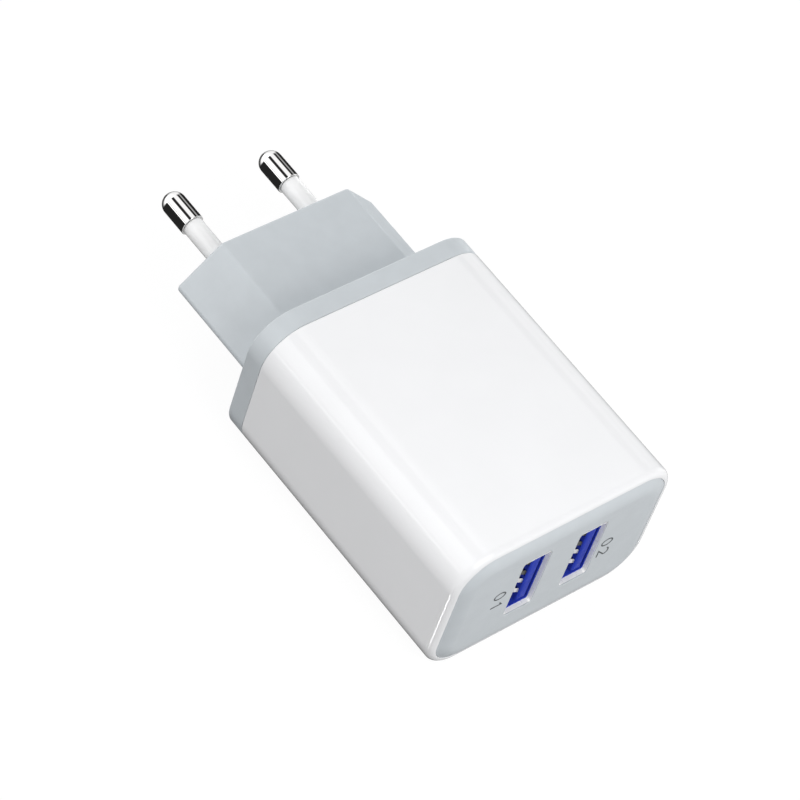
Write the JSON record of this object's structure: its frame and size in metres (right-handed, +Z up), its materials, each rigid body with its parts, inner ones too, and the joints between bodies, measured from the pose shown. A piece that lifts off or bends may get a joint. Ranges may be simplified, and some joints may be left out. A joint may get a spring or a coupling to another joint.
{
  "type": "usb wall charger",
  "caption": "Rounded white wall charger with upright type A sockets in a grey end panel and a flat two-pin mains plug on a grey plinth.",
  "frame": {"origin": "middle of the plug plinth's flat end face, halfway between the two mains pins", "axes": "+Y out of the plug end along the pins, towards the wall socket; +X across the body from the left port to the right port; +Z up out of a broad face, as the charger lies in the picture"},
  "size_m": [0.0426, 0.086, 0.0266],
  "materials": {
    "white_gloss": "glossy moulded white plastic",
    "grey_satin": "satin cool light grey moulded plastic",
    "nickel_plate": "bright nickel plating",
    "sleeve_plastic": "smooth pale grey insulating sleeve",
    "blue_plastic": "saturated blue moulded plastic",
    "gold_contact": "thin gold plating, bright",
    "retainer_board": "plain fibre board",
    "white_wire": "soft white wire insulation",
    "circuit_board": "green solder mask on glass fibre board",
    "ferrite": "dark grey sintered ferrite",
    "black_plastic": "matt black moulded plastic",
    "yellow_tape": "yellow polyester tape round the winding",
    "can_sleeve": "aluminium can in a dark shrunk plastic sleeve",
    "enamel_copper": "enamelled copper wire",
    "blue_coating": "dipped blue coating",
    "fuse_body": "pale ceramic body",
    "amber_film": "thin amber insulating sheet"
  },
  "bodies": {
    "charger": {"front_housing": "white_gloss", "port_panel": "grey_satin", "rear_cover": "grey_satin", "pin_retainer": "retainer_board", "pin_left": "nickel_plate", "pin_sleeve_left": "sleeve_plastic", "pin_lead_left": "white_wire", "usb_shell_left": "nickel_plate", "usb_insulator_left": "blue_plastic", "port_chip_left": "black_plastic", "pin_right": "nickel_plate", "pin_sleeve_right": "sleeve_plastic", "pin_lead_right": "white_wire", "usb_shell_right": "nickel_plate", "usb_insulator_right": "blue_plastic", "port_chip_right": "black_plastic", "main_board": "circuit_board", "transformer_core_rear": "ferrite", "transformer_core_front": "ferrite", "transformer_bobbin": "black_plastic", "transformer_winding": "yellow_tape", "input_capacitor_1": "can_sleeve", "input_capacitor_2": "can_sleeve", "output_capacitor_1": "can_sleeve", "output_capacitor_2": "can_sleeve", "filter_inductor_core": "ferrite", "filter_inductor_coil": "enamel_copper", "safety_capacitor": "blue_coating", "fuse": "fuse_body", "clamp_diode": "black_plastic", "bridge_rectifier": "black_plastic", "controller_chip": "black_plastic", "output_rectifier": "black_plastic", "optocoupler": "black_plastic", "insulation_barrier": "amber_film"},
    "left_contacts": {"usb_contact_left_1": "gold_contact", "usb_contact_left_2": "gold_contact", "usb_contact_left_3": "gold_contact", "usb_contact_left_4": "gold_contact"},
    "right_contacts": {"usb_contact_right_1": "gold_contact", "usb_contact_right_2": "gold_contact", "usb_contact_right_3": "gold_contact", "usb_contact_right_4": "gold_contact"}
  },
  "joints": [
    {"name": "left_contact_flex", "type": "hinge", "parent": "charger", "child": "left_contacts", "pos_m": [-0.00505, -0.0579, 0.0008], "axis": [0, 0, 1], "range_deg": [0, 2.7], "stiffness_Nm_per_rad": 0.3},
    {"name": "right_contact_flex", "type": "hinge", "parent": "charger", "child": "right_contacts", "pos_m": [0.00594, -0.0579, 0.0008], "axis": [0, 0, 1], "range_deg": [0, 2.7], "stiffness_Nm_per_rad": 0.3}
  ]
}
